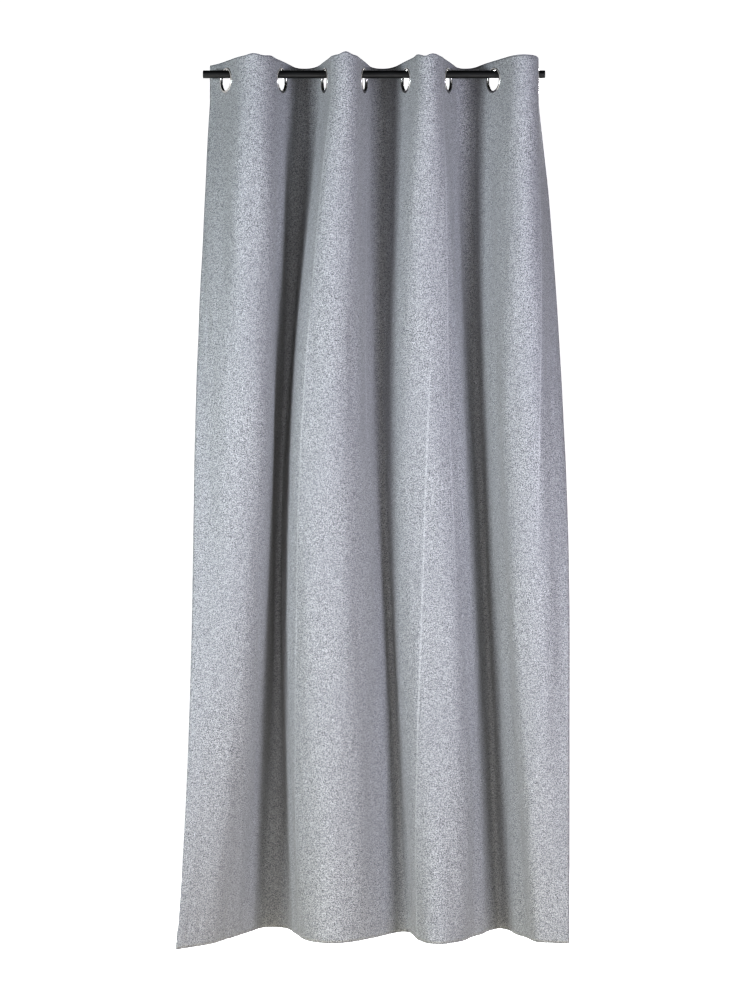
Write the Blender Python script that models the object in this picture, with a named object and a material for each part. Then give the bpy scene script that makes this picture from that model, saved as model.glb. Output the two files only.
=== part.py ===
"""Fabric room curtain panel: an eyelet-headed drop of cloth threaded on a thin rod.

Metres, +Z up. The origin is on the rod's axis at the middle of its length.
The rod runs along X, the room side faces -Y, and the cloth hangs down -Z.
"""

import math

import bmesh
import bpy
import numpy as np

# Cloth, flat
panel_width = 1.35
panel_drop = 1.80
cloth_thick = 0.0012
header_height = 0.080
side_hem_width = 0.025
bottom_hem_height = 0.038
layer_gap = 0.0003
hem_end_gap = 0.0015

# Eyelets
eyelet_count = 8
eyelet_pitch = 0.175
eyelet_clear_radius = 0.0210
eyelet_flange_radius = 0.0260
eyelet_barrel_wall = 0.0006
eyelet_depth_below_top = 0.040
eyelet_flange_rise = 0.0018
washer_thick = 0.0012
clinch_radius = 0.0236
hole_radius = 0.0222
eyelet_sides = 20

# Rod
rod_radius = 0.0080
rod_wall = 0.0012
rod_length = 0.703
rod_sides = 24
ring_rest_gap = 0.0005

# Where each eyelet hangs along the rod, and how far its cloth turns from the rod's line
eyelet_x = (-0.303, -0.191, -0.100, -0.022, 0.067, 0.151, 0.247, 0.336)
eyelet_heading = (-59, 68, -74, 76, -69, 71.5, -59, 85)

# Halfway down and at the hem: each flank's heading, where along the cloth each fold is
# centred, how wide it is, and where the fourth eyelet's column hangs (x, y)
middle_heading = (-20, 82, -81, 68, -74, 68, -74, 40)
middle_fold_centre = (0.119, 0.301, 0.509, 0.727, 0.872, 1.047, 1.248)
middle_fold_width = (0.134, 0.026, 0.219, 0.032, 0.218, 0.030, 0.110)
middle_held = (-0.039, -0.023)
hem_heading = (38, 62, -72, 48, -80, 60, -68, -6)
hem_fold_centre = (0.083, 0.311, 0.530, 0.743, 0.895, 1.120, 1.287)
hem_fold_width = (0.100, 0.105, 0.175, 0.041, 0.144, 0.034, 0.030)
hem_held = (-0.042, -0.057)
held_eyelet = 3
tightest_fold = 0.012
middle_roundness = 0.4

# Grid of the cloth
cloth_columns = 80
cloth_rows = 8
fine_steps = 1351
fold_samples = 400

ring_drop = eyelet_clear_radius - rod_radius - ring_rest_gap
cloth_top = eyelet_depth_below_top - ring_drop
cloth_bottom = cloth_top - panel_drop
edge_margin = (panel_width - eyelet_pitch * (eyelet_count - 1)) / 2
eyelet_s = edge_margin + eyelet_pitch * np.arange(eyelet_count)
fine_s = np.linspace(0.0, panel_width, fine_steps)

# Depth of each layer behind the middle of the face cloth, along its normal
hem_offset = -(cloth_thick + layer_gap)
stiffener_offset = -(cloth_thick + layer_gap)
facing_offset = 2 * stiffener_offset
stack_front = cloth_thick / 2
stack_back = facing_offset - cloth_thick / 2
stack_middle = (stack_front + stack_back) / 2


def clear_scene():
    for item in list(bpy.data.objects):
        bpy.data.objects.remove(item, do_unlink=True)


def material(name, colour, roughness, metallic=0.0):
    made = bpy.data.materials.new(name)
    made.use_nodes = True
    made.diffuse_color = (*colour, 1.0)
    shader = made.node_tree.nodes["Principled BSDF"]
    shader.inputs["Base Color"].default_value = (*colour, 1.0)
    shader.inputs["Roughness"].default_value = roughness
    shader.inputs["Metallic"].default_value = metallic
    return made


def place(name, mesh, finish):
    item = bpy.data.objects.new(name, mesh)
    item.data.materials.append(finish)
    bpy.context.scene.collection.objects.link(item)
    return item


def smooth(u):
    """0 before 0, 1 after 1, with a level start and end between."""
    u = np.clip(u, 0.0, 1.0)
    return u * u * (3.0 - 2.0 * u)


def header_folds():
    """Centre and width of each fold between two eyelets.

    The cloth between two eyelets is a straight flank, a fold and a straight flank. Their
    lengths add up to the pitch, and they lead from one eyelet's place to the next one's.
    """
    turn = smooth((np.arange(fold_samples) + 0.5) / fold_samples)
    centres = []
    widths = []
    for k in range(eyelet_count - 1):
        first, last = np.radians(eyelet_heading[k : k + 2])
        bend = first + (last - first) * turn
        across = (math.cos(first), np.cos(bend).mean(), math.cos(last))
        deep = (math.sin(first), np.sin(bend).mean(), math.sin(last))
        reach = (eyelet_x[k + 1] - eyelet_x[k], 0.0, eyelet_pitch)
        flank, width, _ = np.linalg.solve((across, deep, (1.0, 1.0, 1.0)), reach)
        centres.append(eyelet_s[k] + flank + width / 2)
        widths.append(width)
    return np.array(centres), np.array(widths)


def three_levels(top, middle, hem, down):
    """The parabola through the values at the header, halfway down and at the hem."""
    top, middle, hem = (np.array(level, float) for level in (top, middle, hem))
    return (
        top * (1 - down) * (1 - 2 * down)
        + middle * 4 * down * (1 - down)
        + hem * down * (2 * down - 1)
    )


def plan_at(down):
    """Plan of the cloth at a share of the drop, 0 at the header and 1 at the hem.

    Gives x, y and heading at each step of fine_s. The heading turns from each flank's value
    to the next one's across each fold: with a level start and end where the fold is round,
    and evenly where it isn't. The place is the running sum of the heading's cosine and sine,
    so no cloth is stretched.
    """
    top_centre, top_width = header_folds()
    headings = np.radians(three_levels(eyelet_heading, middle_heading, hem_heading, down))
    centres = three_levels(top_centre, middle_fold_centre, hem_fold_centre, down)
    widths = three_levels(top_width, middle_fold_width, hem_fold_width, down)
    widths = np.maximum(widths, tightest_fold)
    roundness = three_levels(1.0, middle_roundness, 1.0, down)
    heading = np.full(fine_steps, headings[0])
    for k, (centre, width) in enumerate(zip(centres, widths)):
        u = (fine_s - centre) / width + 0.5
        turn = roundness * smooth(u) + (1 - roundness) * np.clip(u, 0.0, 1.0)
        heading += (headings[k + 1] - headings[k]) * turn
    step = panel_width / (fine_steps - 1)
    between = (heading[1:] + heading[:-1]) / 2
    x = np.concatenate([[0.0], np.cumsum(np.cos(between)) * step])
    y = np.concatenate([[0.0], np.cumsum(np.sin(between)) * step])
    header_held = (eyelet_x[held_eyelet], 0.0)
    held_x, held_y = three_levels(header_held, middle_held, hem_held, down)
    held = eyelet_s[held_eyelet]
    x += held_x - np.interp(held, fine_s, x)
    y += held_y - np.interp(held, fine_s, y)
    return x, y, heading


def cloth_point(s, z, offset):
    """Points on the cloth at places s along it and one height z, moved offset to its front."""
    down = (cloth_top - z) / panel_drop
    down = max(0.0, (down * panel_drop - header_height) / (panel_drop - header_height))
    x, y, heading = plan_at(down)
    here = np.interp(s, fine_s, heading)
    px = np.interp(s, fine_s, x) + offset * np.sin(here)
    py = np.interp(s, fine_s, y) - offset * np.cos(here)
    return np.stack([px, py, np.full(len(s), z)], axis=1)


def closed_sheet(name, columns, heights, offset, thick, finish):
    """A closed strip of cloth: its front grid, its back grid and a wall round the edge."""
    front = np.array([cloth_point(columns, z, offset + thick / 2) for z in heights])
    back = np.array([cloth_point(columns, z, offset - thick / 2) for z in heights])
    rows, wide = front.shape[:2]
    shape = bmesh.new()
    fronts = [[shape.verts.new(p) for p in row] for row in front]
    backs = [[shape.verts.new(p) for p in row] for row in back]
    for r in range(rows - 1):
        for c in range(wide - 1):
            shape.faces.new(
                (fronts[r][c], fronts[r + 1][c], fronts[r + 1][c + 1], fronts[r][c + 1])
            )
            shape.faces.new((backs[r][c], backs[r][c + 1], backs[r + 1][c + 1], backs[r + 1][c]))
    rim = [(0, c) for c in range(wide)]
    rim += [(r, wide - 1) for r in range(1, rows)]
    rim += [(rows - 1, c) for c in range(wide - 2, -1, -1)]
    rim += [(r, 0) for r in range(rows - 2, 0, -1)]
    for (r0, c0), (r1, c1) in zip(rim, rim[1:] + rim[:1]):
        shape.faces.new((fronts[r0][c0], fronts[r1][c1], backs[r1][c1], backs[r0][c0]))
    bmesh.ops.recalc_face_normals(shape, faces=shape.faces)
    mesh = bpy.data.meshes.new(name)
    shape.to_mesh(mesh)
    shape.free()
    return place(name, mesh, finish)


def eyelet_frame(k):
    """Centre of eyelet k and its turn about Z: its local +Z points out of the cloth's front."""
    turn = math.radians(eyelet_heading[k])
    return (eyelet_x[k], 0.0, -ring_drop), turn


def turned(name, profile, sides, finish):
    """A ring turned about its own Z axis from a closed profile of (radius, height)."""
    shape = bmesh.new()
    ring = []
    for i in range(sides):
        angle = 2 * math.pi * i / sides
        ring.append(
            [shape.verts.new((r * math.cos(angle), r * math.sin(angle), h)) for r, h in profile]
        )
    for i in range(sides):
        here, there = ring[i], ring[(i + 1) % sides]
        for j in range(len(profile)):
            k = (j + 1) % len(profile)
            shape.faces.new((here[j], there[j], there[k], here[k]))
    bmesh.ops.recalc_face_normals(shape, faces=shape.faces)
    mesh = bpy.data.meshes.new(name)
    shape.to_mesh(mesh)
    shape.free()
    mesh.shade_smooth()
    mesh.set_sharp_from_angle(angle=math.radians(40))
    return place(name, mesh, finish)


def stand_in_cloth(item, k):
    """Turn a ring made about Z so that its axis lies along the cloth's normal at eyelet k."""
    centre, turn = eyelet_frame(k)
    item.location = centre
    item.rotation_euler = (math.radians(90), 0.0, turn)


def eyelet_front(k, finish):
    """Domed flange, barrel through the cloth, and the lip clinched over the washer behind."""
    seat = stack_front + layer_gap - stack_middle
    back = stack_back - layer_gap - washer_thick - layer_gap - stack_middle
    inner = eyelet_clear_radius
    outer = eyelet_clear_radius + eyelet_barrel_wall
    rim = eyelet_flange_radius
    rise = eyelet_flange_rise
    profile = [
        (outer, seat),
        (rim, seat),
        (rim - 0.0004, seat + 0.55 * rise),
        ((inner + rim) / 2, seat + rise),
        (inner + 0.0004, seat + 0.55 * rise),
        (inner, seat),
        (inner, back - 0.0002),
        (inner + 0.0006, back - 0.0008),
        (clinch_radius, back - 0.0006),
        (clinch_radius, back),
        (outer, back),
    ]
    item = turned(f"eyelet_{k + 1}_front", profile, eyelet_sides, finish)
    stand_in_cloth(item, k)


def eyelet_washer(k, finish):
    """Flat washer behind the cloth that the barrel's lip holds."""
    face = stack_back - layer_gap - stack_middle
    low = face - washer_thick
    inner = eyelet_clear_radius + eyelet_barrel_wall + layer_gap
    rim = eyelet_flange_radius
    profile = [(inner, face), (rim, face), (rim - 0.0005, low), (inner, low)]
    item = turned(f"eyelet_{k + 1}_back", profile, eyelet_sides, finish)
    stand_in_cloth(item, k)


def hole_cutter(k):
    """A plug through the cloth's three header layers at eyelet k."""
    bpy.ops.mesh.primitive_cylinder_add(vertices=eyelet_sides, radius=hole_radius, depth=0.016)
    cutter = bpy.context.object
    cutter.name = f"hole_cutter_{k + 1}"
    stand_in_cloth(cutter, k)
    cutter.hide_render = True
    cutter.display_type = "WIRE"
    return cutter


def cut_holes(item, cutters):
    for cutter in cutters:
        cut = item.modifiers.new(cutter.name, "BOOLEAN")
        cut.operation = "DIFFERENCE"
        cut.solver = "EXACT"
        cut.object = cutter


def fold_columns():
    """Places along the cloth for the grid: even, between the inner edges of the side hems."""
    inside = np.linspace(side_hem_width, panel_width - side_hem_width, cloth_columns + 1)
    return np.concatenate([[0.0], inside, [panel_width]])


def side_hem_heights():
    """Heights of the side hems' rows, from under the header band to over the bottom hem."""
    high = cloth_top - header_height - hem_end_gap
    low = cloth_bottom + bottom_hem_height + hem_end_gap
    return np.linspace(high, low, cloth_rows + 1)


def row_heights():
    """Heights of the face cloth's rows, so that every layer behind shares them."""
    band_low = cloth_top - header_height
    hem_top = cloth_bottom + bottom_hem_height
    return [cloth_top, band_low, *side_hem_heights(), hem_top, cloth_bottom]


def layer_shift():
    """The face cloth's offset that puts the middle of the header stack on the rod's plan."""
    return -stack_middle


def cloth_layers(fabric, lining):
    shift = layer_shift()
    columns = fold_columns()
    rows = row_heights()
    cutters = [hole_cutter(k) for k in range(eyelet_count)]
    face = closed_sheet("face_cloth", columns, rows, shift, cloth_thick, fabric)
    cut_holes(face, cutters)
    band_low = cloth_top - header_height
    band = [cloth_top - 0.001, band_low]
    stiff_offset = shift + stiffener_offset
    stiffener = closed_sheet(
        "header_stiffener", columns, band, stiff_offset, cloth_thick, lining
    )
    cut_holes(stiffener, cutters)
    facing = closed_sheet(
        "header_facing", columns, [cloth_top, band_low], shift + facing_offset, cloth_thick, fabric
    )
    cut_holes(facing, cutters)
    hem_top = cloth_bottom + bottom_hem_height
    closed_sheet("bottom_hem", columns, [hem_top, cloth_bottom], shift + hem_offset, cloth_thick, fabric)
    side_rows = side_hem_heights()
    closed_sheet("left_side_hem", columns[:2], side_rows, shift + hem_offset, cloth_thick, fabric)
    closed_sheet("right_side_hem", columns[-2:], side_rows, shift + hem_offset, cloth_thick, fabric)


def rod(finish):
    """Thin-walled tube along X, open at both plain cut ends."""
    half = rod_length / 2
    inner = rod_radius - rod_wall
    bevel = 0.0004
    profile = [
        (inner, half),
        (rod_radius - bevel, half),
        (rod_radius, half - bevel),
        (rod_radius, bevel - half),
        (rod_radius - bevel, -half),
        (inner, -half),
    ]
    item = turned("rod", profile, rod_sides, finish)
    item.rotation_euler = (0.0, math.radians(90), 0.0)


def build():
    clear_scene()
    fabric = material("grey_melange_cloth", (0.33, 0.33, 0.34), 0.9)
    lining = material("header_stiffening", (0.75, 0.75, 0.73), 0.95)
    black = material("satin_black_paint", (0.012, 0.012, 0.014), 0.35, 0.3)
    steel = material("nickel_plated_steel", (0.62, 0.62, 0.63), 0.22, 1.0)
    rod(black)
    cloth_layers(fabric, lining)
    for k in range(eyelet_count):
        eyelet_front(k, steel)
        eyelet_washer(k, steel)


build()
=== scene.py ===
import math
import bmesh
import bpy
import numpy as np
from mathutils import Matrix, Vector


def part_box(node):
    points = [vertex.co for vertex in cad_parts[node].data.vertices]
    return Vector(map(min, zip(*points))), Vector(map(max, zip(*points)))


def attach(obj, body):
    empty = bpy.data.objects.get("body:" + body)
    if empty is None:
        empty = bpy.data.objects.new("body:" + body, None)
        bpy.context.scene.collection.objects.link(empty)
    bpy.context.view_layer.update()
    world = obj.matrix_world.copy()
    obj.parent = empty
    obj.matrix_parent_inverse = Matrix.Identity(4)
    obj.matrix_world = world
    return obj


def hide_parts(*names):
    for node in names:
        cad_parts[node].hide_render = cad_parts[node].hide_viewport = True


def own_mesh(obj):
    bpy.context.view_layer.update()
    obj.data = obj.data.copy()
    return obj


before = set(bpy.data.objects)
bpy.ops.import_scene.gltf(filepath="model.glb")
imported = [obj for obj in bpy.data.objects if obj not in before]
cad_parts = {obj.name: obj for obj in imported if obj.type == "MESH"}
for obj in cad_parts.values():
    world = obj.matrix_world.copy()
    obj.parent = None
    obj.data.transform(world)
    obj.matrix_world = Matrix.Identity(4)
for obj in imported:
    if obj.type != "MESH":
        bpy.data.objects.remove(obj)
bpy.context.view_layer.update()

# where the design puts things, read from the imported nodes
rodLow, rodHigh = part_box("rod")
clothLow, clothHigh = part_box("face_cloth")
ringLow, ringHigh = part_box("eyelet_1_front")
rodRadius = (rodHigh.z - rodLow.z) / 2
ringRadius = (ringHigh.z - ringLow.z) / 2
ringZ = (ringHigh.z + ringLow.z) / 2
clothTop = clothHigh.z
clothBottom = clothLow.z
clothBody = "rod_and_cloth"


# the folds in plan: along the cloth, the heading turns from flank to flank across each fold
folds = {
    "width": 1.35,  # flat cloth, metres
    "headerHeight": 0.080,
    "pitch": 0.175,
    "heldRing": 3,  # the rows are lined up on this ring's column, counted from 0
    "ringX": (-0.303, -0.191, -0.100, -0.022, 0.067, 0.151, 0.247, 0.336),
    "ringHeading": (-59, 68, -74, 76, -69, 71.5, -59, 85),
    "midHeading": (-20, 82, -81, 68, -74, 68, -74, 40),
    "midCentre": (0.119, 0.301, 0.509, 0.727, 0.872, 1.047, 1.248),
    "midWidth": (0.134, 0.026, 0.219, 0.032, 0.218, 0.030, 0.110),
    "midHeld": (-0.039, -0.023),  # where that column is, halfway down
    "hemHeading": (38, 62, -72, 48, -80, 60, -68, -6),
    "hemCentre": (0.083, 0.311, 0.530, 0.743, 0.895, 1.120, 1.287),
    "hemWidth": (0.100, 0.105, 0.175, 0.041, 0.144, 0.034, 0.030),
    "hemHeld": (-0.042, -0.057),  # and at the hem
    "leftFlare": (14, 0.055),  # degrees by which the header's left end opens, and its width
    "tightest": 0.012,
    "roundness": 0.4,  # halfway down: 0 bends each fold evenly, 1 bends it most at its middle
    "lean": 0.30,  # at the rings, how much earlier than its middle each valley bends
    "steps": 1350,
    "levels": 160,
}
ringCount = len(folds["ringX"])
edgeMargin = (folds["width"] - folds["pitch"] * (ringCount - 1)) / 2
ringS = edgeMargin + folds["pitch"] * np.arange(ringCount)
fineS = np.linspace(0, folds["width"], folds["steps"] + 1)

# sharper lines in the cloth: place along it at the top and at the hem, turn in degrees,
# width of the turn, and the shares of the drop where the line starts and ends
creases = {
    "lines": (
        (0.470, 0.446, 16, 0.010, -0.10, 1.10),
        (0.528, 0.590, 14, 0.012, -0.10, 0.55),
        (0.890, 0.836, 14, 0.008, 0.28, 1.10),
        (0.893, 0.950, 16, 0.010, -0.10, 0.66),
        (1.258, 1.285, 14, 0.010, -0.10, 0.60),
        (0.118, 0.100, 10, 0.012, -0.10, 0.50),
    ),
    "spread": 0.055,  # metres over which the cloth turns back
    "fade": 0.10,
}


def smoothStep(u):  # 0 to 1, level at both ends
    u = np.clip(u, 0, 1)
    return u * u * (3 - 2 * u)


def leaning(u, k, down):
    # every second fold is a valley; it bends early at the rings, and evenly lower down
    return np.clip(u, 0, 1) ** (1 - folds["lean"] * (k % 2) * (1 - down) ** 4)


def headerFolds():
    # Between two rings the cloth is a flank, a fold and a flank. Their lengths add up to the
    # pitch and they lead from one ring to the next: three equations for three lengths.
    found = []
    for k in range(ringCount - 1):
        turn = smoothStep(leaning((np.arange(400) + 0.5) / 400, k, 0))
        first, last = np.radians(folds["ringHeading"][k:k + 2])
        bend = first + (last - first) * turn
        rows = [
            [math.cos(first), np.cos(bend).mean(), math.cos(last)],
            [math.sin(first), np.sin(bend).mean(), math.sin(last)],
            [1, 1, 1],
        ]
        reach = [folds["ringX"][k + 1] - folds["ringX"][k], 0, folds["pitch"]]
        flank, width, _ = np.linalg.solve(rows, reach)
        found.append((ringS[k] + flank + width / 2, width))
    return np.array(found).T


def threeLevels(top, middle, hem, down):
    # the parabola through the values at the top, halfway down and at the hem
    return top * (1 - down) * (1 - 2 * down) + middle * 4 * down * (1 - down) + hem * down * (2 * down - 1)


def foldValues(top, middle, hem, down):
    return threeLevels(np.array(top, float), np.array(middle, float), np.array(hem, float), down)


def headingTable(down):
    # heading[level, step] = first flank's heading + the sum of each fold's turn + the creases,
    # each of which is a narrow turn less the same turn spread wide
    down = down[:, None]
    topCentre, topWidth = headerFolds()
    flank = np.radians(foldValues(folds["ringHeading"], folds["midHeading"], folds["hemHeading"], down))
    centre = foldValues(topCentre, folds["midCentre"], folds["hemCentre"], down)
    width = np.maximum(foldValues(topWidth, folds["midWidth"], folds["hemWidth"], down), folds["tightest"])
    roundness = threeLevels(1.0, folds["roundness"], 1.0, down)
    heading = np.repeat(flank[:, :1], len(fineS), axis=1)
    for k in range(ringCount - 1):
        u = leaning((fineS - centre[:, k:k + 1]) / width[:, k:k + 1] + 0.5, k, down)
        turn = roundness * smoothStep(u) + (1 - roundness) * u
        heading += (flank[:, k + 1:k + 2] - flank[:, k:k + 1]) * turn
    flare, flareWidth = folds["leftFlare"]
    heading += math.radians(flare) * (1 - down) ** 4 * (1 - smoothStep(fineS / flareWidth))
    for sTop, sHem, turn, narrow, start, end in creases["lines"]:
        past = fineS - (sTop + (sHem - sTop) * down)
        on = smoothStep((down - start) / creases["fade"]) * smoothStep((end - down) / creases["fade"])
        spread = smoothStep(past / creases["spread"] + 0.5)
        heading += math.radians(turn) * on * (smoothStep(past / narrow + 0.5) - spread)
    return heading


def planTables():
    # x and y at [level, step] are running sums of the heading's cosine and sine, so no row of
    # the cloth is stretched; each row is then shifted to put the held ring's column in place
    down = np.linspace(0, 1, folds["levels"])
    heading = headingTable(down)
    step = folds["width"] / folds["steps"]
    middle = (heading[:, 1:] + heading[:, :-1]) / 2
    ring = folds["heldRing"]
    held = int(round(ringS[ring] / step))
    tables = []
    for along, top, k in ((np.cos(middle), folds["ringX"][ring], 0), (np.sin(middle), 0.0, 1)):
        table = np.zeros_like(heading)
        table[:, 1:] = np.cumsum(along, axis=1) * step
        place = threeLevels(top, folds["midHeld"][k], folds["hemHeld"][k], down)
        tables.append(table + (place - table[:, held])[:, None])
    return tables[0], tables[1], heading


planX, planY, planHeading = planTables()

wrinkles = {
    "seed": 11,
    "broad": 0.0016,  # height in metres of waves 60 to 160 mm across and 0.4 to 1.2 m tall
    "fine": 0.00035,  # of waves 18 to 45 mm across and 120 to 400 mm tall
    "pucker": 0.0004,  # of the small waves along the bottom seam
    "seamSpread": 0.010,
    "calm": 0.05,  # below the top edge, before the waves start, and over how much they grow
    "grow": 0.25,
}

# bumps of the top edge: place along the cloth, height and half width, in metres
topEdge = {
    "bumps": (
        (0.150, 0.0045, 0.014),
        (0.188, 0.0025, 0.012),
        (0.503, 0.0060, 0.010),
        (0.822, 0.0025, 0.010),
        (0.844, -0.0035, 0.007),
        (0.862, 0.0020, 0.010),
        (0.325, -0.0030, 0.040),
        (0.675, -0.0030, 0.040),
        (1.025, -0.0030, 0.040),
    ),
    "reach": 0.05,
}


def waves(s, z, count, across, tall, seed):
    # a sum of sines of random length, slant and phase, about 1 high
    pick = np.random.default_rng(seed)
    total = np.zeros(s.shape)
    for _ in range(count):
        a = 2 * math.pi / pick.uniform(*across)
        b = 2 * math.pi / pick.uniform(*tall) * pick.choice([-1, 1])
        total += np.sin(a * s + b * z + pick.uniform(0, 2 * math.pi))
    return total / math.sqrt(count)


def relief(s, z):
    # small hollows and swellings along the normal, none of them near the rings
    seed = wrinkles["seed"]
    free = smoothStep((clothTop - z - wrinkles["calm"]) / wrinkles["grow"])
    high = wrinkles["broad"] * free * waves(s, z, 7, (0.06, 0.16), (0.4, 1.2), seed)
    high += wrinkles["fine"] * free * waves(s, z, 9, (0.018, 0.045), (0.12, 0.4), seed + 1)
    seam = np.exp(-((z - clothBottom - hems["bottom"]["deep"]) / wrinkles["seamSpread"]) ** 2)
    return high + wrinkles["pucker"] * seam * waves(s, z, 5, (0.012, 0.03), (0.2, 0.5), seed + 2)


def topRise(s, z):
    # the top edge stands up at the crests and sinks between them, fading downwards
    rise = sum(high * np.exp(-((s - at) / wide) ** 2) for at, high, wide in topEdge["bumps"])
    return rise * np.exp((z - clothTop) / topEdge["reach"])


def between(table, row, column):
    # the table's value at fractional rows and columns, from its four neighbours
    r = np.clip(row.astype(int), 0, table.shape[0] - 2)
    c = np.clip(column.astype(int), 0, table.shape[1] - 2)
    v, u = row - r, column - c
    low = table[r, c] * (1 - u) + table[r, c + 1] * u
    high = table[r + 1, c] * (1 - u) + table[r + 1, c + 1] * u
    return low * (1 - v) + high * v


def clothPoints(s, z, offset):
    # A place on the cloth is s along it, the height z, and offset in front of its middle.
    # The plan tables give x, y and heading h, and the front normal is (sin h, -cos h, 0).
    s, z, offset = np.broadcast_arrays(s, z, offset)
    drop = clothTop - clothBottom - folds["headerHeight"]
    down = np.clip((clothTop - folds["headerHeight"] - z) / drop, 0, 1)
    row = down * (folds["levels"] - 1)
    column = np.clip(s / folds["width"], 0, 1) * folds["steps"]
    x, y, h = (between(table, row, column) for table in (planX, planY, planHeading))
    away = offset + relief(s, z)
    return np.stack([x + away * np.sin(h), y - away * np.cos(h), z + topRise(s, z)], axis=-1)


# the cloth's layers and turned edges, in metres
hems = {
    "thick": 0.0007,  # one layer of cloth
    "front": 0.0016,  # the face's middle in front of the rings' plan
    "seam": 0.0001,  # between the face's end and the turned edge round it
    "sides": {"deep": 0.025, "gap": 0.0008},  # gap: from the front layer's middle to the back one's
    "top": {"deep": 0.080, "gap": 0.0016},
    "bottom": {"deep": 0.038, "gap": 0.0032},
    "roundSteps": 8,
    "flatSteps": 9,
    "endGap": 0.0004,  # between the cloth's border and the end of a turned edge
    "sideGap": 0.0026,  # between a side hem and the turned top and bottom edges
}
header = {
    "foldDeep": 0.004,  # of the shallow turn at the top that meets the facing
    "meet": 0.0001,
    "stiffSide": 0.002,  # clear of the side hems, of the top fold and of the facing's lower edge
    "stiffTop": 0.003,
    "stiffLow": 0.001,
}
clothGrid = {"columns": 360, "headerRows": 26, "bodyRows": 84, "hemRows": 6}


def newPiece(name, points, faces, uv=None, outward=True):
    mesh = bpy.data.meshes.new(name)
    mesh.from_pydata(points.reshape(-1, 3).tolist(), [], faces)
    if uv is not None:
        layer = mesh.uv_layers.new(name="cloth")
        corners = np.empty(len(mesh.loops), np.int32)
        mesh.loops.foreach_get("vertex_index", corners)
        layer.data.foreach_set("uv", uv.reshape(-1, 2)[corners].astype(np.float32).ravel())
    if outward:
        shape = bmesh.new()
        shape.from_mesh(mesh)
        bmesh.ops.recalc_face_normals(shape, faces=shape.faces)
        shape.to_mesh(mesh)
        shape.free()
    mesh.polygons.foreach_set("use_smooth", np.ones(len(mesh.polygons), bool))
    mesh.update()
    item = bpy.data.objects.new(name, mesh)
    bpy.context.scene.collection.objects.link(item)
    return item


def gridQuads(rows, wide, closed=False):
    # quads between neighbouring rows and columns; closed joins the last column to the first
    r, c = np.meshgrid(np.arange(rows - 1), np.arange(wide if closed else wide - 1), indexing="ij")
    n = (c + 1) % wide
    quads = np.stack([r * wide + c, (r + 1) * wide + c, (r + 1) * wide + n, r * wide + n], axis=-1)
    return quads.reshape(-1, 4)


def turnRadius(edge):  # of the folded edge's middle, so that the edge ends at the cloth's border
    return (edge["gap"] + hems["thick"]) / 2


def faceInset(edge):  # where the face stops, just inside the turned edge
    return turnRadius(edge) + hems["seam"]


def layer(name, sLine, zLine, offset, holes=False):
    # A closed sheet: the (s, z) grid moved half a thickness each way along the normal, with
    # walls round its borders. Grid points inside a ring's hole are pulled onto its circle.
    s, z = (a.ravel() for a in np.meshgrid(sLine, zLine))
    quads = gridQuads(len(zLine), len(sLine))
    if holes:
        for at in ringS:
            ds, dz = s - at, z - ringZ
            far = np.hypot(ds, dz)
            inside = far < rings["hole"]
            quads = quads[~inside[quads].all(axis=1)]
            pull = inside & (far > 1e-6)
            s[pull] = at + ds[pull] / far[pull] * rings["hole"]
            z[pull] = ringZ + dz[pull] / far[pull] * rings["hole"]
    edges = np.concatenate([quads[:, [k, (k + 1) % 4]] for k in range(4)])
    _, index, times = np.unique(np.sort(edges, axis=1), axis=0, return_index=True, return_counts=True)
    rim = edges[index[times == 1]]
    count = len(s)
    walls = np.stack([rim[:, 1], rim[:, 0], rim[:, 0] + count, rim[:, 1] + count], axis=1)
    faces = np.concatenate([quads, quads[:, ::-1] + count, walls])
    half = hems["thick"] / 2
    points = np.concatenate([clothPoints(s, z, offset + half), clothPoints(s, z, offset - half)])
    uv = np.tile(np.stack([s, z], axis=-1), (2, 1))
    used, faces = np.unique(faces, return_inverse=True)
    return newPiece(name, points[used], faces.reshape(-1, 4).tolist(), uv[used])


def hemSection(edge):
    # The J of a turned edge, as a loop of (inward, offset): the back layer from its inner end
    # to the edge, half a circle round it, and back along the same line on its inner side.
    radius, half = edge["gap"] / 2, hems["thick"] / 2
    turn = turnRadius(edge)
    angle = np.linspace(-math.pi / 2, math.pi / 2, hems["roundSteps"] + 1)
    inward = np.linspace(edge["deep"], turn, hems["flatSteps"] + 1)[:-1]
    loops = []
    for grow in (half, -half):
        i = np.concatenate([inward, turn - (radius + grow) * np.cos(angle)])
        o = np.concatenate([np.full(len(inward), -radius - grow), (radius + grow) * np.sin(angle)])
        loops.append(np.stack([i, o - radius], axis=-1))
    return loops


def turnedEdge(name, edge, along, place):
    # The J section carried along the cloth's border: rows of the grid go along the border, and
    # place turns (along, inward) into (s, z) on the cloth.
    outer, inner = hemSection(edge)
    loop = np.concatenate([outer, inner[::-1]])
    rows, wide = len(along), len(loop)
    s, z = np.broadcast_arrays(*place(along[:, None], loop[None, :, 0]))
    points = clothPoints(s, z, hems["front"] + loop[None, :, 1])
    half = len(outer)
    j = np.arange(half - 1)
    cap = np.stack([j, j + 1, wide - 2 - j, wide - 1 - j], axis=-1)
    faces = np.concatenate([gridQuads(rows, wide, closed=True), cap, cap + (rows - 1) * wide])
    return newPiece(name, points, faces.tolist(), np.stack([s, z], axis=-1))


rings = {
    "clear": 0.0210,  # radius inside
    "hole": 0.0223,  # radius of the hole in the cloth
    "wall": 0.0006,  # of the barrel
    "rise": 0.0015,  # of the domed flange
    "washer": 0.0009,
    "inset": 0.0002,  # of the flange from the design's outer radius
    "washerInset": 0.0004,
    "seat": 0.00005,  # gap between metal and cloth
    "gap": 0.0003,  # between barrel and washer
    "edge": 0.0006,  # rounding of the washer
    "lip": (0.0014, 0.0006),  # half width and depth of the rolled lip
    "lipGap": 0.0004,
    "lipSteps": 8,
    "sides": 96,
    "roundSteps": 14,
}


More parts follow.
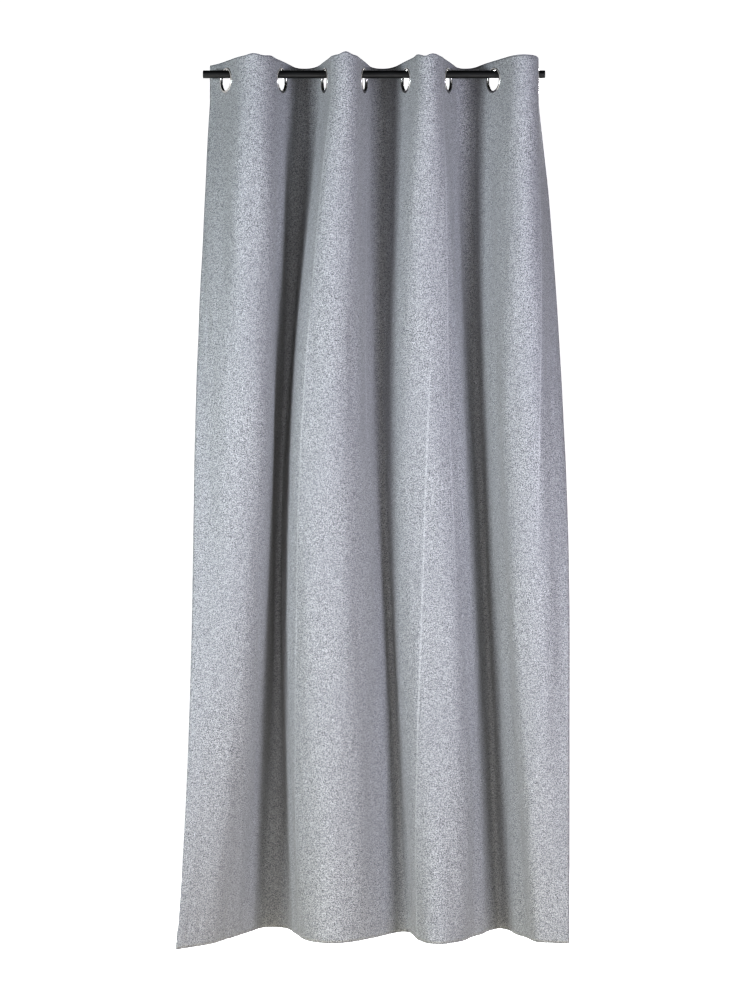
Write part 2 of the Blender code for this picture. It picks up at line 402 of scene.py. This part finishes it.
def borderLine():  # places along the top and bottom borders
    gap = hems["endGap"]
    return np.linspace(gap, folds["width"] - gap, clothGrid["columns"] + 1)


def clothMeshes():
    width, top, bottom = folds["width"], clothTop, clothBottom
    side = faceInset(hems["sides"])
    sLine = np.linspace(side, width - side, clothGrid["columns"] + 1)
    band = top - hems["top"]["deep"]
    hemTop = bottom + hems["bottom"]["deep"]
    zLine = np.concatenate([
        np.linspace(top - faceInset(hems["top"]), band, clothGrid["headerRows"] + 1),
        np.linspace(band, hemTop, clothGrid["bodyRows"] + 1)[1:],
        np.linspace(hemTop, bottom + faceInset(hems["bottom"]), clothGrid["hemRows"] + 1)[1:],
    ])
    face = layer("curtainFace", sLine, zLine, hems["front"], holes=True)
    inset = hems["sideGap"]
    zEdge = np.concatenate([[top - inset], zLine[2:-1], [bottom + inset]])
    sides = hems["sides"]
    left = turnedEdge("leftSideHem", sides, zEdge, lambda along, inward: (inward, along))
    right = turnedEdge("rightSideHem", sides, zEdge, lambda along, inward: (width - inward, along))
    border = borderLine()
    hem = turnedEdge("bottomHem", hems["bottom"], border, lambda along, inward: (along, bottom + inward))
    return face, left, right, hem


def headerMeshes():
    # The facing's flat part has the rings' holes, so it is a layer, and its turned top edge is
    # a shallow J that meets it.
    width, top = folds["width"], clothTop
    fold = dict(hems["top"], deep=turnRadius(hems["top"]) + header["foldDeep"])
    edge = turnedEdge("headerFold", fold, borderLine(), lambda along, inward: (along, top - inward))
    low = top - hems["top"]["deep"]
    rows = clothGrid["headerRows"] + 1
    zLine = np.linspace(top - fold["deep"] - header["meet"], low, rows)
    facing = layer("headerFacing", borderLine(), zLine, hems["front"] - hems["top"]["gap"], holes=True)
    inside = hems["sides"]["deep"] + header["stiffSide"]
    sStiff = np.linspace(inside, width - inside, clothGrid["columns"] // 2 + 1)
    zStiff = np.linspace(top - header["stiffTop"], low + header["stiffLow"], rows)
    middle = hems["front"] - hems["top"]["gap"] / 2
    stiff = layer("headerStiffening", sStiff, zStiff, middle, holes=True)
    return edge, facing, stiff


stitches = {
    "length": 0.0032,
    "pitch": 0.0040,
    "radius": 0.00028,
    "inset": 0.0025,  # of the seam from the hem's inner edge
    "lift": 0.00012,  # of its middle above the cloth
    "dip": 0.0003,  # of its ends
    "taper": 0.75,
    "sideStart": 0.004,
    "around": 6,
    "stations": 5,
}


def seam(along, across, horizontal):
    # One row of stitches in cloth coordinates: each is a tube round a low arch that dips into
    # the cloth at both ends.
    half = stitches["length"] / 2
    u = np.linspace(-1, 1, stitches["stations"])[None, :, None]
    angle = np.linspace(0, 2 * math.pi, stitches["around"], endpoint=False)[None, None, :]
    radius = stitches["radius"] * np.sqrt(1 - stitches["taper"] * u ** 2)
    line = along[:, None, None] + half * u + 0 * angle
    side = across + radius * np.sin(angle)
    lift = hems["thick"] / 2 + stitches["lift"] - stitches["dip"] * u ** 4 + radius * np.cos(angle)
    s, z = (line, side + 0 * line) if horizontal else (side + 0 * line, line)
    return clothPoints(s, z, hems["front"] + lift)


def stitching():
    width, inset = folds["width"], stitches["inset"]
    low, high = clothBottom + hems["bottom"]["deep"], clothTop - hems["top"]["deep"]
    across = np.arange(stitches["sideStart"], width - stitches["sideStart"], stitches["pitch"])
    downwards = np.arange(low, high, stitches["pitch"])
    side = hems["sides"]["deep"] - inset
    rows = [
        seam(across, high + inset, True),
        seam(across, low - inset, True),
        seam(downwards, side, False),
        seam(downwards, width - side, False),
    ]
    points = np.concatenate(rows)
    count, stations, around = points.shape[:3]
    body = gridQuads(stations, around, closed=True)
    faces = (body[None] + (np.arange(count) * stations * around)[:, None, None]).reshape(-1, 4).tolist()
    ends = np.arange(around)
    start = np.arange(count)[:, None] * stations * around
    faces += (start + ends).tolist()
    faces += (start + (stations - 1) * around + ends[::-1]).tolist()
    return newPiece("seamStitches", points, faces)


def turned(name, profile, sides, centre, axis):
    # A closed profile of (radius, height) carried round an axis: the frame's two other
    # directions are the vertical and the axis turned a quarter round it.
    axis = np.array(axis, float)
    up = np.array([0, 0, 1.0]) if abs(axis[2]) < 0.5 else np.array([1.0, 0, 0])
    across = np.cross(up, axis)
    angle = np.linspace(0, 2 * math.pi, sides, endpoint=False)[:, None, None]
    radius, height = profile[None, :, 0:1], profile[None, :, 1:2]
    points = np.array(centre) + height * axis + radius * (np.cos(angle) * up + np.sin(angle) * across)
    rows, wide = points.shape[:2]
    faces = gridQuads(rows + 1, wide, closed=True) % (rows * wide)
    return newPiece(name, points, faces.tolist())


def arc(centre, radius, start, end, steps):
    # points on an ellipse, (radius, height) from its centre, angles in degrees
    angle = np.radians(np.linspace(start, end, steps + 1))
    return np.stack([centre[0] + radius[0] * np.cos(angle), centre[1] + radius[1] * np.sin(angle)], axis=-1)


def washerFace():  # just behind the facing
    return hems["front"] - hems["top"]["gap"] - hems["thick"] / 2 - rings["seat"]


def ringFrontProfile():
    # a domed flange, the barrel through the cloth, and the lip rolled over the washer
    seat = hems["front"] + hems["thick"] / 2 + rings["seat"]
    back = washerFace() - rings["washer"] - rings["lipGap"]
    inner, outer, wall = rings["clear"], ringRadius - rings["inset"], rings["wall"]
    mid, half = (inner + outer) / 2, (outer - inner) / 2
    lipHalf, gap = rings["lip"][0], rings["gap"]
    dome = arc((mid, seat), (half, rings["rise"]), 0, 180, rings["roundSteps"])
    lip = arc((inner + lipHalf, back), rings["lip"], 180, 360, rings["lipSteps"])
    rest = np.array([
        [inner + 2 * lipHalf - wall, back + gap], [inner + wall, back + gap], [inner + wall, seat]])
    return np.concatenate([dome, lip, rest])


def ringBackProfile():
    face, back = washerFace(), washerFace() - rings["washer"]
    gap, edge = rings["gap"], rings["edge"]
    inner, outer = rings["clear"] + rings["wall"] + gap, ringRadius - rings["washerInset"]
    flat = np.array([[inner, face], [outer, face]])
    rim = arc((outer - edge, back + edge), (edge, edge), 0, -90, 5)
    return np.concatenate([flat, rim, [[inner + gap, back], [inner, back + gap]]])


rod = {
    "wall": 0.0012,
    "rounding": 0.0005,  # of its ends
    "sides": 96,
    "rows": 24,
}


def rodProfile():
    half, wall, bend = (rodHigh.x - rodLow.x) / 2, rod["wall"], rod["rounding"]
    outer = arc((rodRadius - bend, half - bend), (bend, bend), 90, 0, 4)
    low = arc((rodRadius - bend, bend - half), (bend, bend), 0, -90, 4)
    runs = np.linspace(half - bend, bend - half, rod["rows"])[1:-1]
    body = np.stack([np.full(len(runs), rodRadius), runs], axis=-1)
    inner = np.array([[rodRadius - wall, -half], [rodRadius - wall, half]])
    return np.concatenate([outer, body, low, inner])


def linear(hexColour):
    # sRGB hex to linear light
    channels = [int(hexColour[i:i + 2], 16) / 255 for i in (1, 3, 5)]
    return tuple(c / 12.92 if c <= 0.04045 else ((c + 0.055) / 1.055) ** 2.4 for c in channels) + (1.0,)


def addNode(tree, kind, settings=None, inputs=None):
    # inputs holds a value, or an output socket to link
    node = tree.nodes.new(kind)
    for key, value in (settings or {}).items():
        setattr(node, key, value)
    for key, value in (inputs or {}).items():
        if isinstance(value, bpy.types.NodeSocket):
            tree.links.new(value, node.inputs[key])
        else:
            node.inputs[key].default_value = value
    return node


def newMaterial(name, **values):
    made = bpy.data.materials.new(name)
    made.use_nodes = True
    shader = made.node_tree.nodes["Principled BSDF"]
    for key, value in values.items():
        shader.inputs[key.replace("_", " ")].default_value = value
    return made, made.node_tree, shader


melange = {
    "light": "#d2d4d9",
    "dark": "#4f5258",
    "stain": "#9a9ca3",
    "grain": 0.0017,  # metres; yarn flecks are 0.5 mm, drawn coarser so that they show
    "slubWide": 0.0011,
    "slubLong": 0.014,
    "yarn": 0.0009,  # yarn spacing; 0.5 mm in the cloth, drawn coarser so that it shows
    "bump": 0.00022,
    "fleck": 0.0013,  # the cells of the salt and pepper; 0.5 mm in the cloth, drawn coarser
    "fleckHigh": 0.22,
    "contrast": (0.32, 0.70),  # the range of the mixed noises that goes from dark to light
    "grainShare": 0.60,
    "dyePatches": 5.0,
    "dyeUneven": 0.22,
    "weaveHigh": 0.35,
    "paintedHighlightLines": (  # painted highlight lines along the creases from packing: place along the cloth at the top and hem, start and end
        (0.470, 0.446, -0.10, 1.10),
        (0.893, 0.950, -0.10, 0.66),
        (0.890, 0.836, 0.28, 1.10),
        (1.258, 1.285, -0.10, 0.60),
        (0.618, 0.680, 0.02, 0.50),
    ),
    "highlightLineWide": 0.0030,  # half the width of a painted highlight line
    "highlightLineFade": 0.15,
    "paintedHighlightAmount": 0.30,
}


def calculate(tree, operation, *values):
    return addNode(tree, "ShaderNodeMath", {"operation": operation}, dict(enumerate(values))).outputs[0]


def paintedCreaseHighlights(tree, place):
    # painted highlight: along the creases where the cloth was folded flat, a thin line is painted lighter
    # into the colour, standing in for light caught by the crease
    parts = addNode(tree, "ShaderNodeSeparateXYZ", None, {"Vector": place}).outputs
    down = addNode(tree, "ShaderNodeMapRange", None, {
        "Value": parts["Y"], "From Min": clothTop, "From Max": clothBottom}).outputs["Result"]
    total = 0.0
    for top, hem, start, end in melange["paintedHighlightLines"]:
        line = calculate(tree, "MULTIPLY_ADD", down, hem - top, top)
        away = calculate(tree, "ABSOLUTE", calculate(tree, "SUBTRACT", parts["X"], line))
        near = addNode(tree, "ShaderNodeMapRange", {"interpolation_type": "SMOOTHSTEP"}, {
            "Value": away, "From Min": melange["highlightLineWide"], "From Max": 0.0}).outputs["Result"]
        middle, half = (start + end) / 2, (end - start) / 2
        along = calculate(tree, "ABSOLUTE", calculate(tree, "SUBTRACT", down, middle))
        on = addNode(tree, "ShaderNodeMapRange", {"interpolation_type": "SMOOTHSTEP"}, {
            "Value": along, "From Min": half, "From Max": half - melange["highlightLineFade"]}).outputs["Result"]
        total = calculate(tree, "ADD", calculate(tree, "MULTIPLY", near, on), total)
    return calculate(tree, "MULTIPLY", total, melange["paintedHighlightAmount"])


def melangeCloth():
    # Polyester in a dense plain weave of two greys spun together. The flecks give a fine salt
    # and pepper, short slubs run along both yarns, and the hairy surface lifts grazing light.
    # Thin highlight lines along the packing creases are painted into the colour.
    made, tree, shader = newMaterial(
        "wovenMelangePolyester", Roughness=0.92, Sheen_Weight=0.25, Sheen_Roughness=0.5, IOR=1.45)
    shader.inputs["Specular IOR Level"].default_value = 0.25
    place = addNode(tree, "ShaderNodeUVMap", {"uv_map": "cloth"}).outputs["UV"]
    mixed = []
    for wide, long in ((melange["grain"], melange["grain"]),
                       (melange["slubWide"], melange["slubLong"]),
                       (melange["slubLong"], melange["slubWide"])):
        scaled = addNode(tree, "ShaderNodeMapping", None, {
            "Vector": place, "Scale": (1 / wide, 1 / long, 1)})
        noise = addNode(tree, "ShaderNodeTexNoise", {"noise_dimensions": "2D"}, {
            "Vector": scaled.outputs["Vector"], "Scale": 1.0, "Detail": 2.0, "Roughness": 0.6})
        mixed.append(noise.outputs["Fac"])
    cell = addNode(tree, "ShaderNodeVectorMath", {"operation": "SNAP"}, {
        0: place, 1: (melange["fleck"], melange["fleck"], 1)}).outputs["Vector"]
    speck = addNode(tree, "ShaderNodeTexWhiteNoise", {"noise_dimensions": "2D"}, {
        "Vector": cell}).outputs["Value"]
    share, (darkest, lightest) = melange["grainShare"], melange["contrast"]
    slubs = calculate(tree, "MULTIPLY", calculate(tree, "ADD", mixed[1], mixed[2]), (1 - share) / 2)
    fleck = calculate(tree, "MULTIPLY_ADD", mixed[0], share, slubs)
    speck = calculate(tree, "SUBTRACT", speck, 0.5)
    fleck = calculate(tree, "MULTIPLY_ADD", speck, melange["fleckHigh"], fleck)
    tone = addNode(tree, "ShaderNodeMapRange", None, {
        "Value": fleck, "From Min": darkest, "From Max": lightest})
    colour = addNode(tree, "ShaderNodeMix", {"data_type": "RGBA"}, {
        "Factor": tone.outputs["Result"], "A": linear(melange["dark"]), "B": linear(melange["light"])})
    # a slow unevenness of dye, a hand or two across
    patch = addNode(tree, "ShaderNodeTexNoise", {"noise_dimensions": "2D"}, {
        "Vector": place, "Scale": melange["dyePatches"], "Detail": 2.0})
    uneven = addNode(tree, "ShaderNodeMapRange", None, {
        "Value": patch.outputs["Fac"], "From Min": 0.35, "From Max": 0.65, "To Max": melange["dyeUneven"]})
    colour = addNode(tree, "ShaderNodeMix", {"data_type": "RGBA"}, {
        "Factor": uneven.outputs["Result"], "A": colour.outputs["Result"], "B": linear(melange["stain"])})
    # mix in the painted highlight lines along the creases
    colour = addNode(tree, "ShaderNodeMix", {"data_type": "RGBA"}, {
        "Factor": paintedCreaseHighlights(tree, place), "A": colour.outputs["Result"], "B": linear(melange["light"])})
    tree.links.new(colour.outputs["Result"], shader.inputs["Base Color"])
    # the weave: warp and weft ribs, one over the other
    ribs = []
    for axis in ((1, 0, 0), (0, 1, 0)):
        turn = addNode(tree, "ShaderNodeVectorMath", {"operation": "DOT_PRODUCT"}, {0: place, 1: axis})
        wave = calculate(tree, "MULTIPLY", turn.outputs["Value"], 2 * math.pi / melange["yarn"])
        ribs.append(calculate(tree, "SINE", wave))
    weave = calculate(tree, "MULTIPLY", ribs[0], ribs[1])
    height = calculate(tree, "MULTIPLY_ADD", weave, melange["weaveHigh"], fleck)
    bump = addNode(tree, "ShaderNodeBump", None, {
        "Strength": 0.6, "Distance": melange["bump"], "Height": height})
    tree.links.new(bump.outputs["Normal"], shader.inputs["Normal"])
    return made


def stiffeningFleece():
    # Non-woven polyester fleece, pressed flat: off-white, with random short fibres.
    made, tree, shader = newMaterial("pressedFleece", Roughness=0.95)
    place = addNode(tree, "ShaderNodeTexCoord").outputs["Object"]
    fibre = addNode(tree, "ShaderNodeTexNoise", None, {"Vector": place, "Scale": 700.0, "Detail": 4.0})
    colour = addNode(tree, "ShaderNodeMix", {"data_type": "RGBA"}, {
        "Factor": fibre.outputs["Fac"], "A": linear("#cfcdc6"), "B": linear("#ebeae4")})
    tree.links.new(colour.outputs["Result"], shader.inputs["Base Color"])
    bump = addNode(tree, "ShaderNodeBump", None, {
        "Strength": 0.4, "Distance": 0.0002, "Height": fibre.outputs["Fac"]})
    tree.links.new(bump.outputs["Normal"], shader.inputs["Normal"])
    return made


def threadMaterial():
    # Spun polyester thread, a shade lighter than the cloth, twisted at a 0.4 mm pitch.
    made, tree, shader = newMaterial("spunPolyesterThread", Roughness=0.6, Sheen_Weight=0.2)
    place = addNode(tree, "ShaderNodeTexCoord").outputs["Object"]
    twist = addNode(tree, "ShaderNodeTexNoise", None, {"Vector": place, "Scale": 2500.0, "Detail": 1.0})
    colour = addNode(tree, "ShaderNodeMix", {"data_type": "RGBA"}, {
        "Factor": twist.outputs["Fac"], "A": linear("#8f929a"), "B": linear("#b9bcc4")})
    tree.links.new(colour.outputs["Result"], shader.inputs["Base Color"])
    return made


def nickelPlate():
    # Pressed steel with bright nickel plate: near mirror, warm grey, with faint polishing
    # haze and hairline wear that roughen it in patches.
    made, tree, shader = newMaterial(
        "nickelPlatedSteel", Base_Color=linear("#b9b8b6"), Metallic=1.0, Roughness=0.18)
    place = addNode(tree, "ShaderNodeTexCoord").outputs["Object"]
    haze = addNode(tree, "ShaderNodeTexNoise", None, {"Vector": place, "Scale": 160.0, "Detail": 5.0})
    rough = addNode(tree, "ShaderNodeMapRange", None, {
        "Value": haze.outputs["Fac"], "From Min": 0.3, "From Max": 0.7, "To Min": 0.12, "To Max": 0.28})
    tree.links.new(rough.outputs["Result"], shader.inputs["Roughness"])
    bump = addNode(tree, "ShaderNodeBump", None, {
        "Strength": 0.08, "Distance": 0.0002, "Height": haze.outputs["Fac"]})
    tree.links.new(bump.outputs["Normal"], shader.inputs["Normal"])
    return made


def satinBlack():
    # Powder-coated steel tube, satin black: a fine orange peel of 1 to 2 mm softens the
    # highlight, and rubbing rings leave slightly glossier bands along it.
    made, tree, shader = newMaterial(
        "satinPowderCoat", Base_Color=linear("#121315"), Roughness=0.38)
    shader.inputs["Specular IOR Level"].default_value = 0.3
    place = addNode(tree, "ShaderNodeTexCoord").outputs["Object"]
    peel = addNode(tree, "ShaderNodeTexNoise", None, {"Vector": place, "Scale": 700.0, "Detail": 2.0})
    bump = addNode(tree, "ShaderNodeBump", None, {
        "Strength": 0.12, "Distance": 0.0004, "Height": peel.outputs["Fac"]})
    tree.links.new(bump.outputs["Normal"], shader.inputs["Normal"])
    stretched = addNode(tree, "ShaderNodeMapping", None, {"Vector": place, "Scale": (45.0, 6.0, 6.0)})
    rub = addNode(tree, "ShaderNodeTexNoise", None, {
        "Vector": stretched.outputs["Vector"], "Scale": 1.0, "Detail": 3.0})
    rough = addNode(tree, "ShaderNodeMapRange", None, {
        "Value": rub.outputs["Fac"], "From Min": 0.35, "From Max": 0.65, "To Min": 0.30, "To Max": 0.46})
    tree.links.new(rough.outputs["Result"], shader.inputs["Roughness"])
    return made


def paleWall():
    made, tree, shader = newMaterial("paleStudioWall", Base_Color=(0.9, 0.9, 0.9, 1), Roughness=0.9)
    shader.inputs["Emission Color"].default_value = (1, 1, 1, 1)
    shader.inputs["Emission Strength"].default_value = studio["wallGlow"]
    # seen only from the side that faces the object
    behind = addNode(tree, "ShaderNodeNewGeometry").outputs["Backfacing"]
    clear = addNode(tree, "ShaderNodeBsdfTransparent").outputs["BSDF"]
    oneSided = addNode(tree, "ShaderNodeMixShader", None, {0: behind, 1: shader.outputs["BSDF"], 2: clear})
    tree.links.new(oneSided.outputs["Shader"], tree.nodes["Material Output"].inputs["Surface"])
    return made


def ridePiece(piece, material, body, slotName, *nodes):
    piece.data.materials.append(material)
    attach(piece, body)
    if nodes:
        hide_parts(*nodes)
    return piece


def gather(piece):
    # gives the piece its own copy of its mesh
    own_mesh(piece)


def buildCloth():
    cloth, fleece, thread = melangeCloth(), stiffeningFleece(), threadMaterial()
    face, left, right, hem = clothMeshes()
    edge, facing, stiff = headerMeshes()
    ridePiece(face, cloth, clothBody, "cloth", "face_cloth")
    ridePiece(left, cloth, clothBody, "cloth", "left_side_hem")
    ridePiece(right, cloth, clothBody, "cloth", "right_side_hem")
    ridePiece(hem, cloth, clothBody, "cloth", "bottom_hem")
    ridePiece(edge, cloth, clothBody, "cloth")
    ridePiece(facing, cloth, clothBody, "cloth", "header_facing")
    ridePiece(stiff, fleece, clothBody, "stiffening", "header_stiffener")
    sewn = ridePiece(stitching(), thread, clothBody, "cloth")
    soft = [face, left, right, hem, edge, facing, stiff, sewn]
    for piece in soft:
        gather(piece)
    print("cloth, hems and header made")


def buildRings():
    metal = nickelPlate()
    for k, (x, turn) in enumerate(zip(folds["ringX"], folds["ringHeading"])):
        last = k == ringCount - 1
        body = clothBody if last else f"eyelet_{k + 1}"
        axis = (math.sin(math.radians(turn)), -math.cos(math.radians(turn)), 0)
        for side, profile in (("front", ringFrontProfile()), ("back", ringBackProfile())):
            name = f"eyelet{side.capitalize()}{k + 1}"
            ring = turned(name, profile, rings["sides"], (x, 0, ringZ), axis)
            ridePiece(ring, metal, body, "eyelet_metal", f"eyelet_{k + 1}_{side}")
            gather(ring)
    print("rings made")


def buildRod():
    tube = turned("rodTube", rodProfile(), rod["sides"], (0, 0, 0), (1, 0, 0))
    ridePiece(tube, satinBlack(), clothBody, "rod_paint", "rod")
    print("rod made")


studio = {
    "distance": 4.6,
    "middleZ": -0.875,
    "middleX": 0.002,
    "viewHeight": 2.056,  # metres seen from top to bottom at the rod's distance
    "sensor": 36,
    "floorGap": 0.45,
    "floorRadius": 7.0,
    "coveRadius": 2.0,
    "wallTop": 6.0,
    "coveSteps": 15,
    "sides": 64,
    "wallGlow": 1.0,
    "world": 0.012,
    "tone": 0.75,  # below 1, the view has a harder contrast
    "lights": (  # name, place, what it aims at, size, power and colour of each soft box
        ("leftLight", (-1.68, -1.74, -0.46), (0, 0, -0.80), (0.7, 0.7), 54, (0.93, 0.99, 1.0)),
        ("rightLight", (1.50, -1.88, -0.52), (0, 0, -0.80), (0.7, 0.7), 48, (0.90, 0.89, 1.0)),
        ("lowLight", (-0.10, -2.40, -1.70), (0, 0, -1.30), (0.8, 0.8), 17, (1.0, 0.97, 0.95)),
        ("backLight", (0.5, 3.2, -0.10), (0, 0, -0.80), (1.6, 1.6), 230, (0.97, 0.98, 1.0)),
        ("floorLight", (0, -1.20, -2.20), (0, -1.19, -1.00), (4.0, 2.4), 38, (1.0, 0.93, 0.74)),
    ),
}


def areaLight(name, place, aim, size, power, colour):
    light = bpy.data.lights.new(name, "AREA")
    light.shape = "RECTANGLE"
    light.size, light.size_y = size
    light.energy = power
    light.color = colour
    item = bpy.data.objects.new(name, light)
    item.visible_camera = False
    item.location = place
    toAim = np.array(aim) - np.array(place)
    yaw = math.atan2(toAim[1], toAim[0]) - math.pi / 2
    pitch = math.atan2(toAim[2], math.hypot(toAim[0], toAim[1]))
    item.rotation_euler = (math.pi / 2 + pitch, 0, yaw)
    bpy.context.scene.collection.objects.link(item)


def buildStudio():
    # a round floor with a coved wall: a quarter circle joins them, all round the object
    low, bend = clothBottom - studio["floorGap"], studio["coveRadius"]
    flat, sides = studio["floorRadius"], studio["sides"]
    angle = np.linspace(0, math.pi / 2, studio["coveSteps"] + 1)
    radius = np.concatenate([[1.0], flat + bend * np.sin(angle), [flat + bend]])[:, None]
    z = np.concatenate([[low], low + bend - bend * np.cos(angle), [studio["wallTop"]]])[:, None]
    around = np.linspace(0, 2 * math.pi, sides, endpoint=False)[None, :]
    points = np.stack(np.broadcast_arrays(radius * np.cos(around), radius * np.sin(around), z), axis=-1)
    faces = gridQuads(len(z), sides, closed=True).tolist() + [list(range(sides))]
    sweep = newPiece("studioSweep", points, faces, outward=False)
    sweep.data.materials.append(paleWall())
    sweep.visible_diffuse = False
    for light in studio["lights"]:
        areaLight(*light)
    world = bpy.data.worlds.new("studioAir")
    world.use_nodes = True
    world.node_tree.nodes["Background"].inputs["Color"].default_value = (1, 1, 1, 1)
    world.node_tree.nodes["Background"].inputs["Strength"].default_value = studio["world"]
    bpy.context.scene.world = world
    bpy.context.scene.view_settings.view_transform = "Standard"
    bpy.context.scene.view_settings.gamma = studio["tone"]
    camera = bpy.data.cameras.new("roomView")
    camera.sensor_width = studio["sensor"]
    camera.lens = studio["sensor"] * studio["distance"] / studio["viewHeight"]
    eye = bpy.data.objects.new("roomView", camera)
    eye.location = (studio["middleX"], -studio["distance"], studio["middleZ"])
    eye.rotation_euler = (math.pi / 2, 0, 0)
    bpy.context.scene.collection.objects.link(eye)
    bpy.context.scene.camera = eye
    print("studio made")


buildRod()
buildCloth()
buildRings()
buildStudio()
